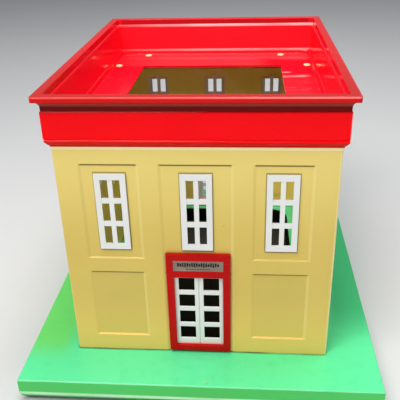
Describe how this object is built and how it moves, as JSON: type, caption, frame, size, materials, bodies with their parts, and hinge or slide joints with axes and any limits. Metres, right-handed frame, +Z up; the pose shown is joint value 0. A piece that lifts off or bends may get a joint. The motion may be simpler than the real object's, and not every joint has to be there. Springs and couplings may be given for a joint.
{
  "type": "house-shaped money box",
  "caption": "Toy house money box: green base board, panelled sand walls with white windows and double doors, and a red open roof tray that lifts off.",
  "frame": {"origin": "centre of the underside of the base board, on the surface it stands on", "axes": "+X to the right as seen from the front, +Y from the front wall to the back wall, +Z up"},
  "size_m": [0.2228, 0.2716, 0.1896],
  "materials": {
    "green_board": "gloss green paint",
    "black_cover": "fine texture",
    "steel_screw": "zinc plated",
    "sand_wall": "satin",
    "roof_red": "gloss",
    "frame_red": "gloss",
    "white_trim": "satin gloss",
    "name_plate": "brushed"
  },
  "bodies": {
    "house": {"base_board": "green_board", "bottom_cover": "black_cover", "cover_screws": "steel_screw", "front_wall": "sand_wall", "back_wall": "sand_wall", "left_wall": "sand_wall", "right_wall": "sand_wall", "front_door_frame": "frame_red", "back_door_frame": "frame_red", "front_name_plate": "name_plate", "back_name_plate": "name_plate", "front_double_door": "white_trim", "back_double_door": "white_trim", "front_window_1": "white_trim", "front_window_2": "white_trim", "front_window_3": "white_trim", "back_window_1": "white_trim", "back_window_2": "white_trim", "back_window_3": "white_trim", "left_window_1": "white_trim", "left_window_2": "white_trim", "left_window_3": "white_trim", "left_window_4": "white_trim", "right_window_1": "white_trim", "right_window_2": "white_trim", "right_window_3": "white_trim", "right_window_4": "white_trim"},
    "roof": {"roof_tray": "roof_red"}
  },
  "joints": [
    {"name": "roof_lift", "type": "slide", "parent": "house", "child": "roof", "axis": [0, 0, 1], "range_m": [0, 0.06]}
  ]
}
